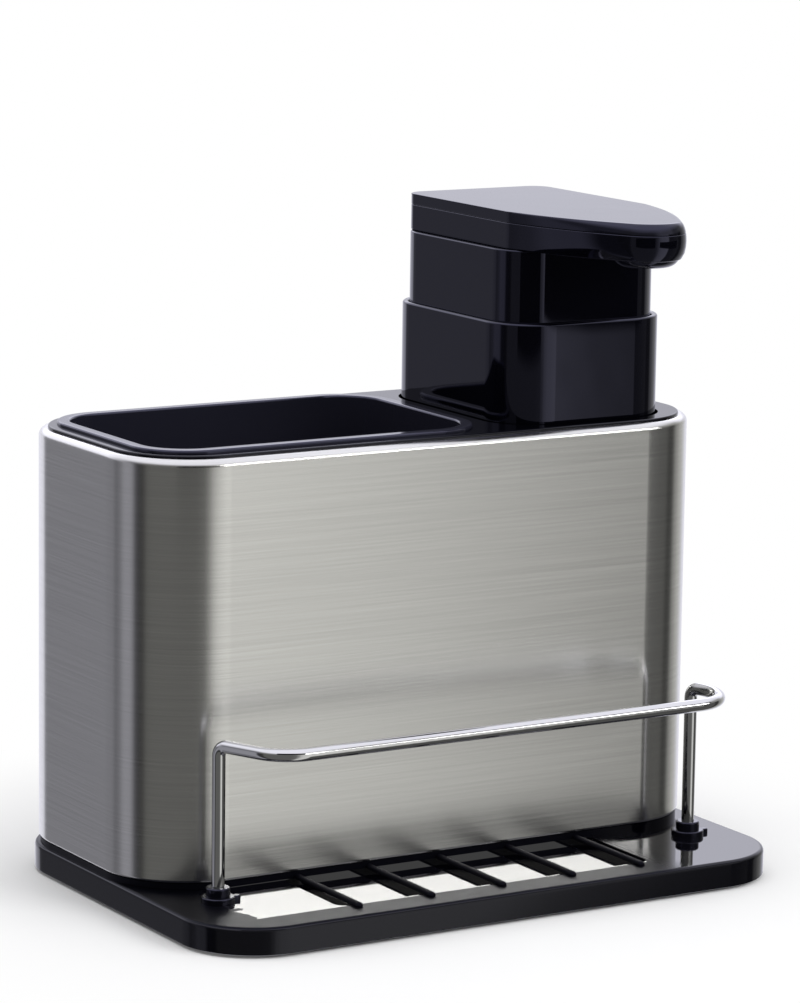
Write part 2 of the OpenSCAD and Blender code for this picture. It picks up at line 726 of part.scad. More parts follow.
module soap_bottle() {
    mouth_w = bottle_w - 2 * bottle_wall;
    mouth_d = bottle_d - 2 * bottle_wall;
    mouth_r = bottle_r - bottle_wall;
    seat = plate_z - plate_t;
    height = bottle_top - well_floor_z;
    color([0.10, 0.10, 0.13]) at_pump(well_floor_z) difference() {
        soft_block(bottle_w, bottle_d, bottle_r, height, bottle_wall / 4);
        translate([0, 0, bottle_floor_t]) {
            block(mouth_w - 2 * ledge_w, mouth_d - 2 * ledge_w, mouth_r - ledge_w, height);
            block(mouth_w, mouth_d, mouth_r, seat - well_floor_z - bottle_floor_t - 2 * ledge_w);
        }
        translate([0, 0, seat - well_floor_z]) block(mouth_w, mouth_d, mouth_r, height);
    }
}

module neck_plate() {
    color([0.12, 0.12, 0.14]) at_pump(plate_z - plate_t) difference() {
        union() {
            block(bottle_w - 2 * bottle_wall, bottle_d - 2 * bottle_wall, bottle_r - bottle_wall, plate_t);
            cylinder(r = neck_r, h = plate_t + neck_h);
            for (i = [1:thread_count])
                translate([0, 0, plate_t + neck_h - i * thread_pitch])
                    cylinder(r1 = neck_r + thread_h, r2 = neck_r, h = thread_h);
        }
        translate([0, 0, -cut]) cylinder(r = neck_r - neck_wall, h = plate_t + neck_h + 2 * cut);
    }
}

module neck_gasket() {
    color([0.85, 0.85, 0.82]) at_pump(neck_top) pipe(neck_r, cylinder_r + cylinder_wall + run_gap, gasket_t);
}

module pump_cylinder() {
    outer = cylinder_r + cylinder_wall;
    socket = dip_r + cylinder_wall;
    top_h = cylinder_head_z - closure_seat;
    color([0.90, 0.90, 0.88]) at_pump(0) rotate_extrude() difference() {
        union() {
            translate([0, cylinder_foot]) square([outer, cylinder_head_z - cylinder_foot]);
            translate([0, flange_z]) square([neck_r, flange_t]);
            translate([0, closure_seat - weld]) square([cylinder_head_r, top_h + weld]);
            translate([0, seat_z - dip_socket]) square([socket, cylinder_foot - seat_z + dip_socket + weld]);
        }
        translate([-cut, cage_z]) square([cylinder_r + cut, cylinder_head_z]);
        translate([-cut, seat_z]) square([ball_r + slip + cut, cylinder_foot]);
        translate([-cut, seat_z - dip_socket - cut]) square([dip_r + cut, dip_socket + cut - dip_wall]);
        translate([-cut, seat_z - dip_socket]) square([dip_r - dip_wall + cut, dip_socket + cut]);
    }
}

module screw_closure() {
    inner = neck_r + thread_h + run_gap;
    outer = inner + closure_wall;
    grips = 36;
    color([0.12, 0.12, 0.14]) at_pump(plate_z + end_gap) difference() {
        cylinder(r = outer, h = closure_z - plate_z - end_gap);
        translate([0, 0, -cut]) cylinder(r = inner, h = closure_seat - plate_z - end_gap + cut);
        cylinder(r = cylinder_head_r + run_gap, h = closure_z);
        for (i = [0:grips - 1]) rotate(i * 360 / grips)
            translate([outer, 0, -cut]) cylinder(r = closure_wall / 4, h = closure_seat - plate_z);
    }
}

module chaplet() {
    color([0.12, 0.12, 0.14]) at_pump(closure_z) difference() {
        cylinder(r = cylinder_head_r + chaplet_wall, h = chaplet_h);
        translate([0, 0, -cut]) cylinder(r = cylinder_head_r, h = chaplet_h - chaplet_top + cut);
        cylinder(r = stem_r + run_gap, h = chaplet_h + cut);
    }
}

module ball_cage() {
    hollow_h = ball_z + ball_r + ball_rise + run_gap - cage_z;
    color([0.88, 0.88, 0.86]) at_pump(cage_z) difference() {
        cylinder(r = cylinder_r, h = cage_h);
        translate([0, 0, -cut]) cylinder(r = ball_r + slip, h = hollow_h + cut);
        for (turn = [0:90:270]) rotate(turn) translate([ball_r, -dip_wall, -cut])
            cube([cylinder_r - ball_r - dip_wall, 2 * dip_wall, cage_h + 2 * cut]);
    }
}

module inlet_ball() {
    color([0.75, 0.76, 0.78]) at_pump(ball_z) sphere(ball_r);
}

module dip_tube() {
    foot = well_floor_z + bottle_floor_t + dip_gap;
    color([0.92, 0.92, 0.90]) at_pump(foot) difference() {
        pipe(dip_r, dip_r - dip_wall, seat_z - dip_wall - foot);
        translate([0, 0, -cut]) rotate([0, 60, 0]) cube([dip_r, 4 * dip_r, 2 * dip_r], center = true);
    }
}

module pump_spring() {
    r = spring_r - spring_wire_r;
    steps = spring_turns * spring_steps;
    rise = (spring_top - spring_foot) / (2 * PI * spring_turns);
    path = [for (i = [0:steps]) let (
        a = 360 * i / spring_steps, slope = atan(rise / r),
        along = [-sin(a) * cos(slope), cos(a) * cos(slope), sin(slope)]
    ) [[r * cos(a), r * sin(a), (spring_top - spring_foot) * i / steps], along, [cos(a), sin(a), 0]]];
    color([0.78, 0.79, 0.80]) at_pump(spring_foot) swept(path, spring_wire_r, spring_sides);
}

module plunger_rod() {
    bore = stem_bore_r / 2;
    color([0.90, 0.90, 0.88]) at_pump(rod_foot) rotate_extrude() {
        translate([bore, 0]) square([spring_r - bore, rod_collar_t]);
        translate([bore, 0]) square([rod_r - bore, stem_foot - rod_foot]);
        translate([bore, 0]) square([stem_bore_r - bore, stem_foot - rod_foot + rod_plug]);
    }
}

module piston() {
    outer = cylinder_r - run_gap;
    lip = cylinder_wall;
    color([0.82, 0.84, 0.86]) at_pump(rod_foot + rod_collar_t) rotate_extrude() difference() {
        translate([rod_r + run_gap, 0]) square([outer - rod_r - run_gap, piston_h]);
        for (y = [-cut, piston_h - piston_h / 4])
            translate([rod_r + lip, y]) square([outer - rod_r - 2 * lip, piston_h / 4 + cut]);
    }
}

module pump_stem() {
    color([0.90, 0.90, 0.88]) at_pump(0) rotate_extrude() difference() {
        union() {
            translate([0, stem_foot]) square([stem_r, stem_top - stem_foot]);
            translate([0, cylinder_head_z - shoulder_t]) square([shoulder_r, shoulder_t]);
        }
        translate([-cut, stem_foot - cut]) square([stem_bore_r + cut, stem_top - stem_foot + 2 * cut]);
    }
}

module press_skirt() {
    inner_w = skirt_w - 2 * skirt_wall;
    inner_d = skirt_d - 2 * skirt_wall;
    inner_r = skirt_r - skirt_wall;
    height = skirt_top - skirt_z;
    socket_z = chaplet_z + stroke + end_gap;
    color([0.09, 0.09, 0.12]) at_pump(skirt_z) difference() {
        union() {
            difference() {
                soft_block(skirt_w, skirt_d, skirt_r, height, skirt_wall / 4);
                translate([0, 0, -cut]) block(inner_w, inner_d, inner_r, height - skirt_wall + cut);
            }
            translate([0, 0, socket_z - skirt_z]) cylinder(r = socket_r, h = skirt_top - socket_z - weld);
        }
        cylinder(r = stem_r + run_gap, h = stem_top - skirt_z);
        cylinder(r = stem_bore_r, h = height + cut);
    }
}

// Right half of the press head's outline: a straight back part, then a bulging side that ends in half
// of a round nose
function arc(c, r, from, to, steps) = [for (i = [0:steps]) let (a = from + (to - from) * i / steps)
    [c[0] + r * cos(a), c[1] + r * sin(a), 0]];
function nose_side(inset, belly) = let (
    p = [head_half - inset, side_end],
    q = [0, nose_y] + (nose_r + belly - inset) * [cos(nose_turn), -sin(nose_turn)],
    chord = norm(p - q), r = (chord * chord / 4 + nose_bulge * nose_bulge) / (2 * nose_bulge),
    lean = atan2(p[0] - q[0], p[1] - q[1]), half = asin(chord / 2 / r),
    c = (p + q) / 2 - (r - nose_bulge) * [cos(lean), -sin(lean)]
) arc(c, r, half - lean, -half - lean, side_steps);
function nose_tip(r) = let (points = arc([0, nose_y], r, -nose_turn, -90, tip_steps))
    [for (i = [1:tip_steps]) points[i]];
function head_right(inset, belly) = concat(
    arc([head_half - head_back_r, head_back - head_back_r], head_back_r - inset, 90, 0, side_steps),
    nose_side(inset, belly), nose_tip(nose_r + belly - inset));
function mirrored(points) = [for (i = [len(points) - 2:-1:0]) flip(points[i])];

// Outline of the press head, drawn an inset inside the real one, with the nose let out by its belly
function head_ring(inset, belly) = concat(head_right(inset, belly), mirrored(head_right(inset, belly)));
module head_outline(inset) {
    polygon([for (p = head_ring(inset, 0)) [p[0], p[1]]]);
}

// Layer of the press head between two heights above its underside: the sides are upright, and the nose
// bellies out halfway up
module head_layer(from, to) {
    half_h = head_h + cover_t - nose_belly_h;
    rings = [for (i = [0:belly_steps]) let (
        h = from + (to - from) * sin(90 * i / belly_steps), low = (h - nose_belly_h) / half_h
    ) [for (p = head_ring(0, nose_belly * sqrt(max(0, 1 - low * low)))) p + [0, 0, h]]];
    n = len(rings[0]);
    skin = [for (i = [0:belly_steps - 1], j = [0:n - 1]) let (a = i * n, k = (j + 1) % n)
        each [[a + j, a + k, a + n + k], [a + j, a + n + k, a + n + j]]];
    polyhedron([for (ring = rings) each ring], concat(skin, [[for (j = [n - 1:-1:0]) j]],
        [[for (j = [0:n - 1]) belly_steps * n + j]]));
}

module head_body() {
    spout_h = spout_drop + head_wall - weld;
    color([0.08, 0.08, 0.11]) at_pump(skirt_top) difference() {
        union() {
            head_layer(0, head_h);
            translate([0, nose_y, -spout_drop]) rotate_extrude() {
                square([spout_r - spout_edge_r, spout_h]);
                intersection() {
                    translate([spout_r - spout_edge_r, spout_edge_r]) circle(spout_edge_r);
                    square([spout_r, spout_edge_r]);
                }
                translate([0, spout_edge_r]) square([spout_r, spout_h - spout_edge_r]);
            }
        }
        translate([0, 0, head_wall]) linear_extrude(height = head_h) head_outline(head_wall);
        for (y = [0, nose_y]) translate([0, y, -spout_drop - cut]) cylinder(r = tube_r, h = head_h);
    }
}

module nozzle_tube() {
    mid_z = head_wall + tube_r;
    end_z = -spout_drop + head_wall / 4;
    color([0.86, 0.86, 0.84]) at_pump(skirt_top) difference() {
        union() {
            cylinder(r = tube_r, h = mid_z + tube_r);
            translate([0, nose_y, end_z]) cylinder(r = tube_r, h = mid_z + tube_r - end_z);
            translate([0, 0, mid_z]) rotate([90, 0, 0]) cylinder(r = tube_r, h = -nose_y);
        }
        translate([0, 0, -cut]) cylinder(r = tube_bore_r, h = mid_z + cut);
        translate([0, nose_y, end_z - cut]) cylinder(r = tube_bore_r, h = mid_z - end_z + cut);
        translate([0, 0, mid_z]) rotate([90, 0, 0]) cylinder(r = tube_bore_r, h = -nose_y);
    }
}

module head_plate() {
    rim_inset = head_wall + run_gap;
    color([0.16, 0.16, 0.19]) at_pump(cover_z) union() {
        translate([0, 0, -head_h]) head_layer(head_h, head_h + cover_t);
        translate([0, 0, -cover_rim]) difference() {
            linear_extrude(height = cover_rim + weld) head_outline(rim_inset);
            translate([0, 0, -cut]) linear_extrude(height = cover_rim + cut)
                head_outline(rim_inset + cover_rim_w);
        }
    }
}

base_tray();
rubber_feet();
base_screws();
steel_sleeve();
inner_frame();
utensil_bin();
wire_rail();
rail_collars();
rail_clips();
soap_bottle();
neck_plate();
neck_gasket();
pump_cylinder();
screw_closure();
chaplet();
ball_cage();
inlet_ball();
dip_tube();
pump_spring();
plunger_rod();
piston();
pump_stem();
press_skirt();
head_body();
nozzle_tube();
head_plate();
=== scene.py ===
import json
import math

import bmesh
import bpy
from mathutils import Matrix, Vector


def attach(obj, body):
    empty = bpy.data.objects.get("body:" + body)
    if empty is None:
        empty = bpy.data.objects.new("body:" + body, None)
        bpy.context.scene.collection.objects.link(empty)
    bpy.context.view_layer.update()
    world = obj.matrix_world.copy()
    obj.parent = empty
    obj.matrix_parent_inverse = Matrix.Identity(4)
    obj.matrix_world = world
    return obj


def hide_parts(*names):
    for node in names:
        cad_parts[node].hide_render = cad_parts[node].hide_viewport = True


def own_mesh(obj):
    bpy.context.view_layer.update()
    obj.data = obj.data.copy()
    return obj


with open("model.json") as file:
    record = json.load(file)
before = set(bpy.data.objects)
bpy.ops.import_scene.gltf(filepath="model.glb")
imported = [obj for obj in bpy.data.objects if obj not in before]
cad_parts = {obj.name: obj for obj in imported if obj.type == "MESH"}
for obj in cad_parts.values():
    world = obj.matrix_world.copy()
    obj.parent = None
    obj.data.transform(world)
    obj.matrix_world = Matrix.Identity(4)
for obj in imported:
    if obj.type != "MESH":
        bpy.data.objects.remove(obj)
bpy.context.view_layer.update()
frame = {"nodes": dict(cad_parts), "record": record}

# Camera: a short telephoto lens on a tripod, 1.4 m away to the left of the front, at eye
# height over the sink. Colours go to the picture unchanged.
bpy.ops.object.camera_add(location=(-0.7422, -1.2241, 0.3827))
camera = bpy.context.object
camera.name = "camera"
camera.rotation_euler = (
    Matrix.Rotation(-0.544, 3, "Z")
    @ Matrix.Rotation(math.pi / 2 - 0.177, 3, "X")
    @ Matrix.Rotation(0.014, 3, "Z")
).to_euler()
camera.data.sensor_width = 36
camera.data.lens = 156.4
bpy.context.scene.camera = camera
bpy.context.scene.view_settings.view_transform = "Standard"


# Tray: one injection moulding in black ABS. The sunk pan with five drip ribs is polished and
# lacquered to a mirror, the deck round it is satin, and the hollow underside has a grid.
def pick_faces(test):
    """Picks the faces whose middle and normal pass the test, and no others."""
    bpy.ops.mesh.select_mode(type="FACE")
    bpy.ops.mesh.select_all(action="DESELECT")
    mesh = bmesh.from_edit_mesh(bpy.context.object.data)
    mesh.normal_update()
    for face in mesh.faces:
        if test(face.calc_center_median(), face.normal):
            face.select_set(True)
    bmesh.update_edit_mesh(bpy.context.object.data)


def pick_edges(test):
    """Picks the edges whose middle and direction pass the test, and no others."""
    bpy.ops.mesh.select_mode(type="EDGE")
    bpy.ops.mesh.select_all(action="DESELECT")
    mesh = bmesh.from_edit_mesh(bpy.context.object.data)
    for edge in mesh.edges:
        start, end = (v.co for v in edge.verts)
        if test((start + end) / 2, (end - start).normalized()):
            edge.select_set(True)
    bmesh.update_edit_mesh(bpy.context.object.data)


def pick_level(z, facing):
    """Picks the flat faces at one height that face up (1) or down (-1)."""
    pick_faces(lambda at, normal: abs(at.z - z) < 2e-5 and normal.z * facing > 0.99)


def slab(name, middle, size, corner, low, high, steps=24):
    """Adds a slab with rounded upright corners and leaves it in edit mode."""
    if bpy.context.mode != "OBJECT":
        bpy.ops.object.mode_set(mode="OBJECT")
    bpy.ops.object.select_all(action="DESELECT")
    bpy.ops.mesh.primitive_cube_add(size=1, location=(*middle, (low + high) / 2))
    piece = bpy.context.object
    piece.name = piece.data.name = name
    piece.scale = (*size, high - low)
    bpy.ops.object.transform_apply(location=True, rotation=True, scale=True)
    bpy.ops.object.mode_set(mode="EDIT")
    pick_edges(lambda at, along: abs(along.z) > 0.99)
    bpy.ops.mesh.bevel(offset=corner, segments=steps, profile=0.5, affect="EDGES")
    return piece


def rod(name, middle, radius, low, high, sides=48):
    """Adds an upright rod."""
    if bpy.context.mode != "OBJECT":
        bpy.ops.object.mode_set(mode="OBJECT")
    bpy.ops.object.select_all(action="DESELECT")
    bpy.ops.mesh.primitive_cylinder_add(
        vertices=sides, radius=radius, depth=high - low, location=(*middle, (low + high) / 2)
    )
    piece = bpy.context.object
    piece.name = piece.data.name = name
    bpy.ops.object.transform_apply(location=True, rotation=True, scale=True)
    bpy.ops.object.mode_set(mode="EDIT")
    return piece


def round_rim(radius, steps=6):
    """Rounds the outline of the picked faces."""
    bpy.ops.mesh.region_to_loop()
    bpy.ops.mesh.bevel(offset=radius, segments=steps, profile=0.5, affect="EDGES")


def sink(inset, depth):
    """Insets the picked faces and pushes them in, down for a positive depth."""
    if inset:
        bpy.ops.mesh.inset(thickness=inset)
    bpy.ops.mesh.extrude_region_move(TRANSFORM_OT_translate={"value": (0, 0, -depth)})


def combine(piece, tool, operation):
    """Cuts the tool out of the piece, or grows it on, and removes the tool."""
    if bpy.context.mode != "OBJECT":
        bpy.ops.object.mode_set(mode="OBJECT")
    bpy.ops.object.select_all(action="DESELECT")
    bpy.context.view_layer.objects.active = piece
    piece.select_set(True)
    step = piece.modifiers.new("combine", "BOOLEAN")
    step.operation = operation
    step.solver = "EXACT"
    step.object = tool
    bpy.ops.object.modifier_apply(modifier=step.name)
    bpy.data.objects.remove(tool)


def smooth_off(piece, angle=35):
    """Shades the piece smooth up to that angle, with flat faces kept flat."""
    if bpy.context.mode != "OBJECT":
        bpy.ops.object.mode_set(mode="OBJECT")
    bpy.ops.object.select_all(action="DESELECT")
    bpy.context.view_layer.objects.active = piece
    piece.select_set(True)
    bpy.ops.object.mode_set(mode="EDIT")
    bpy.ops.mesh.select_all(action="SELECT")
    bpy.ops.mesh.remove_doubles(threshold=2e-6)
    bpy.ops.mesh.normals_make_consistent(inside=False)
    bpy.ops.object.mode_set(mode="OBJECT")
    bpy.ops.object.shade_smooth_by_angle(angle=math.radians(angle))
    weigh = piece.modifiers.new("weigh", "WEIGHTED_NORMAL")
    weigh.keep_sharp = True
    bpy.ops.object.modifier_apply(modifier=weigh.name)


def fit(piece, body, finish, slot, *nodes):
    """Gives a finished piece its material and its place in the caddy."""
    piece.data.materials.clear()
    piece.data.materials.append(finish)
    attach(piece, body)
    if nodes:
        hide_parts(*nodes)


def effect_group(name, inputs, outputs):
    """Starts a shader node group with named float inputs and outputs."""
    group = bpy.data.node_groups.new(name, "ShaderNodeTree")
    for socket, value in inputs.items():
        made = group.interface.new_socket(socket, in_out="INPUT", socket_type="NodeSocketFloat")
        made.default_value = value
    for socket in outputs:
        group.interface.new_socket(socket, in_out="OUTPUT", socket_type="NodeSocketFloat")
    return group, group.nodes.new("NodeGroupInput"), group.nodes.new("NodeGroupOutput")


def noise_of(tree, vector, scale, detail):
    """Adds a noise texture that reads the vector."""
    noise = tree.nodes.new("ShaderNodeTexNoise")
    noise.inputs["Scale"].default_value = scale
    noise.inputs["Detail"].default_value = detail
    tree.links.new(vector, noise.inputs["Vector"])
    return noise


def calculate(tree, operation, first, second):
    """Adds a math node. An operand is a socket or a number."""
    node = tree.nodes.new("ShaderNodeMath")
    node.operation = operation
    for socket, value in zip(node.inputs, (first, second)):
        if isinstance(value, bpy.types.NodeSocket):
            tree.links.new(value, socket)
        else:
            socket.default_value = value
    return node.outputs[0]


def moulded_skin():
    """Effect of a polished moulding: slow sink marks, a fine skin and faint wiping marks."""
    group, entry, result = effect_group(
        "moulded_skin", {"Roughness": 0.05, "Wiping": 0.05, "Waves": 1.0}, ["Roughness", "Height"]
    )
    place = group.nodes.new("ShaderNodeTexCoord").outputs["Object"]
    waves = noise_of(group, place, 45, 1)
    skin = noise_of(group, place, 2600, 2)
    smears = noise_of(group, place, 120, 6)
    smears.inputs["Distortion"].default_value = 1.4
    dull = calculate(group, "POWER", smears.outputs["Fac"], 4)
    wiped = calculate(group, "MULTIPLY", dull, entry.outputs["Wiping"])
    group.links.new(
        calculate(group, "ADD", wiped, entry.outputs["Roughness"]), result.inputs["Roughness"]
    )
    slow = calculate(group, "MULTIPLY", waves.outputs["Fac"], entry.outputs["Waves"])
    fine = calculate(group, "MULTIPLY", skin.outputs["Fac"], 0.008)
    group.links.new(calculate(group, "ADD", slow, fine), result.inputs["Height"])
    return group


def new_material(name, colour, metallic=0.0, roughness=0.3):
    """Starts a material with a plain principled shader."""
    material = bpy.data.materials.new(name)
    material.use_nodes = True
    shader = material.node_tree.nodes["Principled BSDF"]
    shader.inputs["Base Color"].default_value = (*colour, 1)
    shader.inputs["Metallic"].default_value = metallic
    shader.inputs["Roughness"].default_value = roughness
    return material, material.node_tree, shader


def add_bump(tree, shader, height, distance, strength=1.0):
    """Feeds a height into the shader's normal."""
    bump = tree.nodes.new("ShaderNodeBump")
    bump.inputs["Strength"].default_value = strength
    bump.inputs["Distance"].default_value = distance
    tree.links.new(height, bump.inputs["Height"])
    tree.links.new(bump.outputs["Normal"], shader.inputs["Normal"])


skin_effect = moulded_skin()


def moulded_plastic(name, colour, roughness, wiping, waves):
    """Black moulded plastic of a given gloss."""
    material, tree, shader = new_material(name, colour)
    shader.inputs["IOR"].default_value = 1.6
    # The specular tint dims the reflections and turns them lavender. This is a painted colour of
    # the light in the reflections, not of the plastic.
    shader.inputs["Specular Tint"].default_value = (0.72, 0.72, 1.05, 1)
    skin = tree.nodes.new("ShaderNodeGroup")
    skin.node_tree = skin_effect
    skin.inputs["Roughness"].default_value = roughness
    skin.inputs["Wiping"].default_value = wiping
    skin.inputs["Waves"].default_value = waves
    tree.links.new(skin.outputs["Roughness"], shader.inputs["Roughness"])
    add_bump(tree, shader, skin.outputs["Height"], 0.00004)
    return material


deep_black = (0.001, 0.001, 0.002)
gloss_black = moulded_plastic("gloss_black", deep_black, 0.04, 0.06, 1.0)
tree = gloss_black.node_tree
shader = tree.nodes["Principled BSDF"]
pan_middle, pan_half = (-0.0162, -0.0440), (0.0820, 0.0187)
pan_low, pan_high = 0.0084, 0.0101
deck_level, plinth_level, lip_level = 0.0095, 0.0102, 0.1
satin_end, satin_fade = 0.070, 0.012
place = tree.nodes.new("ShaderNodeTexCoord").outputs["Object"]
at = tree.nodes.new("ShaderNodeSeparateXYZ")
tree.links.new(place, at.inputs["Vector"])
x, y, z = at.outputs
frayed = calculate(tree, "MULTIPLY", noise_of(tree, place, 190, 5).outputs["Fac"], 0.016)
beside = calculate(tree, "ABSOLUTE", calculate(tree, "SUBTRACT", x, pan_middle[0]), 0)
before = calculate(tree, "ABSOLUTE", calculate(tree, "SUBTRACT", y, pan_middle[1]), 0)
along = calculate(tree, "LESS_THAN", calculate(tree, "ADD", beside, frayed), pan_half[0])
across = calculate(tree, "LESS_THAN", before, pan_half[1])
over_underside = calculate(tree, "GREATER_THAN", z, pan_low)
level = calculate(tree, "MULTIPLY", calculate(tree, "LESS_THAN", z, pan_high), over_underside)
in_pan = calculate(tree, "MULTIPLY", calculate(tree, "MULTIPLY", along, across), level)
polished = calculate(tree, "MAXIMUM", in_pan, calculate(tree, "GREATER_THAN", z, lip_level))
leftward = calculate(tree, "DIVIDE", calculate(tree, "SUBTRACT", satin_end, x), satin_fade)
left_part = calculate(tree, "MAXIMUM", calculate(tree, "MINIMUM", leftward, 1.0), 0.0)
on_deck = calculate(tree, "MULTIPLY", left_part, calculate(tree, "GREATER_THAN", z, deck_level))
satin = calculate(tree, "MULTIPLY", calculate(tree, "SUBTRACT", 1.0, polished), on_deck)
on_plinth = calculate(tree, "GREATER_THAN", z, plinth_level)
dullness = calculate(tree, "ADD", calculate(tree, "MULTIPLY", on_plinth, 0.2), 0.3)
duller = calculate(tree, "MULTIPLY", satin, dullness)
skin_roughness = shader.inputs["Roughness"].links[0].from_socket
tree.links.new(calculate(tree, "ADD", skin_roughness, duller), shader.inputs["Roughness"])
thin_coat = calculate(tree, "MULTIPLY", calculate(tree, "SUBTRACT", 1.0, satin), 0.15)
tree.links.new(calculate(tree, "MAXIMUM", in_pan, thin_coat), shader.inputs["Coat Weight"])
shader.inputs["IOR"].default_value = 1.24
shader.inputs["Coat IOR"].default_value = 2.25
tray_foot, deck_top, plinth_top = 0.001, 0.010, 0.0122
sleeve_axis = (0, 0.0245)
tray = slab("tray", (0, 0), (0.220, 0.150), 0.026, tray_foot, deck_top, 32)
pick_level(deck_top, 1)
round_rim(0.0015, 6)
pick_level(tray_foot, -1)
round_rim(0.0004, 2)
pan = slab("pan", (0, -0.04375), (0.120, 0.0365), 0.003, 0.0088, 0.012, 6)
combine(tray, pan, "DIFFERENCE")
plinth = slab("plinth", sleeve_axis, (0.219, 0.100), 0.0295, 0.009, plinth_top, 32)
combine(tray, plinth, "UNION")
grid = slab("grid", (0, 0), (0.215, 0.145), 0.0235, 0.0, 0.007, 24)
cell, web = 0.0215, 0.0018
for name, count, size in (("across", 5, (web, 0.160, 0.02)), ("along", 3, (0.230, web, 0.02))):
    bpy.ops.object.mode_set(mode="OBJECT")
    bpy.ops.object.select_all(action="DESELECT")
    bpy.ops.mesh.primitive_cube_add(size=1)
    comb = bpy.context.object
    comb.name = name
    bpy.ops.transform.resize(value=size)
    bpy.ops.object.transform_apply(location=True, rotation=True, scale=True)
    step_x, step_y = (cell, 0) if name == "across" else (0, cell)
    bpy.ops.transform.translate(value=(-count * step_x, -count * step_y, 0.004))
    bpy.ops.object.transform_apply(location=True, rotation=True, scale=True)
    row = comb.modifiers.new("row", "ARRAY")
    row.count = 2 * count + 1
    row.use_relative_offset = False
    row.use_constant_offset = True
    row.constant_offset_displace = (step_x, step_y, 0)
    bpy.ops.object.modifier_apply(modifier=row.name)
    combine(grid, comb, "DIFFERENCE")
screw_places = ((-0.060, -0.0166), (-0.060, 0.0656), (0.0437, 0.0245), (0.0837, 0.0245))
foot_places = ((-0.088, -0.058), (0.088, -0.058), (-0.088, 0.058), (0.088, 0.058))
for place in screw_places:
    combine(grid, rod("pad", place, 0.0068, -0.001, 0.008), "DIFFERENCE")
for place in foot_places:
    combine(grid, rod("pad", place, 0.0105, -0.001, 0.008), "DIFFERENCE")
combine(tray, grid, "DIFFERENCE")
for place in foot_places:
    combine(tray, rod("pocket", place, 0.00805, 0.0, 0.0026), "DIFFERENCE")
for place in screw_places:
    combine(tray, rod("hole", place, 0.00215, 0.0, 0.020, 24), "DIFFERENCE")
    combine(tray, rod("head_room", place, 0.0038, 0.0, 0.0044, 32), "DIFFERENCE")
post_x, post_y, hole_r = 0.0913, -0.0388, 0.0022
for side in (-1, 1):
    combine(tray, rod("clip_room", (side * post_x, post_y), 0.007, 0.0, 0.007), "DIFFERENCE")
    combine(tray, rod("post_hole", (side * post_x, post_y), hole_r, 0.0, 0.020, 32), "DIFFERENCE")
rib_pitch, rib_top = 0.02715, 0.0114
for place in range(-2, 3):
    rib = slab("rib", (place * rib_pitch, -0.0455), (0.0028, 0.0416), 0.0013, 0.0085, rib_top, 6)
    pick_level(rib_top, 1)
    round_rim(0.0012, 5)
    combine(tray, rib, "UNION")
smooth_off(tray)
fit(tray, "stand", gloss_black, "gloss_black", "base_tray")

# Sleeve: stainless sheet, brushed level, bent to a rounded rectangle and welded flush at the
# back. Both edges are curled inwards, so that no cut edge shows.
def brushed_grain():
    """Effect of level brushing: fine scratches, faint broad bands and a slight stain."""
    group, entry, result = effect_group(
        "brushed_grain", {"Roughness": 0.25, "Streaks": 0.1}, ["Roughness", "Shade", "Height"]
    )
    place = group.nodes.new("ShaderNodeTexCoord").outputs["Object"]

    def stretched(scale, along, detail):
        squeeze = group.nodes.new("ShaderNodeMapping")
        squeeze.inputs["Scale"].default_value = (along, along, scale)
        group.links.new(place, squeeze.inputs["Vector"])
        return noise_of(group, squeeze.outputs["Vector"], 1, detail).outputs["Fac"]

    scratches = stretched(5200, 26, 3)
    lines = stretched(1500, 9, 4)
    bands = stretched(12, 5, 3)
    both = calculate(group, "ADD", scratches, lines)
    centred = calculate(group, "SUBTRACT", both, 1.0)
    uneven = calculate(group, "MULTIPLY", centred, entry.outputs["Streaks"])
    group.links.new(
        calculate(group, "ADD", uneven, entry.outputs["Roughness"]), result.inputs["Roughness"]
    )
    broad = calculate(group, "SUBTRACT", bands, 0.5)
    toned = calculate(group, "ADD", calculate(group, "MULTIPLY", centred, 0.22),
                      calculate(group, "MULTIPLY", broad, 0.10))
    group.links.new(calculate(group, "ADD", toned, 1.0), result.inputs["Shade"])
    group.links.new(both, result.inputs["Height"])
    return group


grain_effect = brushed_grain()


def brushed_metal(name, colour, roughness, streaks, relief, drawn=0.0):
    """Brushed metal of a given tone. Level scratches draw its highlights out upright."""
    material, tree, shader = new_material(name, colour, metallic=1.0)
    shader.inputs["Anisotropic"].default_value = drawn
    if drawn:
        level = tree.nodes.new("ShaderNodeTangent")
        level.direction_type = "RADIAL"
        level.axis = "Z"
        tree.links.new(level.outputs["Tangent"], shader.inputs["Tangent"])
        shader.inputs["Anisotropic Rotation"].default_value = 0.25
    grain = tree.nodes.new("ShaderNodeGroup")
    grain.node_tree = grain_effect
    grain.inputs["Roughness"].default_value = roughness
    grain.inputs["Streaks"].default_value = streaks
    tree.links.new(grain.outputs["Roughness"], shader.inputs["Roughness"])
    tone = tree.nodes.new("ShaderNodeMix")
    tone.data_type = "RGBA"
    tone.blend_type = "MULTIPLY"
    tone.inputs["Factor"].default_value = 1
    tone.inputs[6].default_value = (*colour, 1)
    tree.links.new(grain.outputs["Shade"], tone.inputs[7])
    tree.links.new(tone.outputs[2], shader.inputs["Base Color"])
    add_bump(tree, shader, grain.outputs["Height"], relief)
    return material


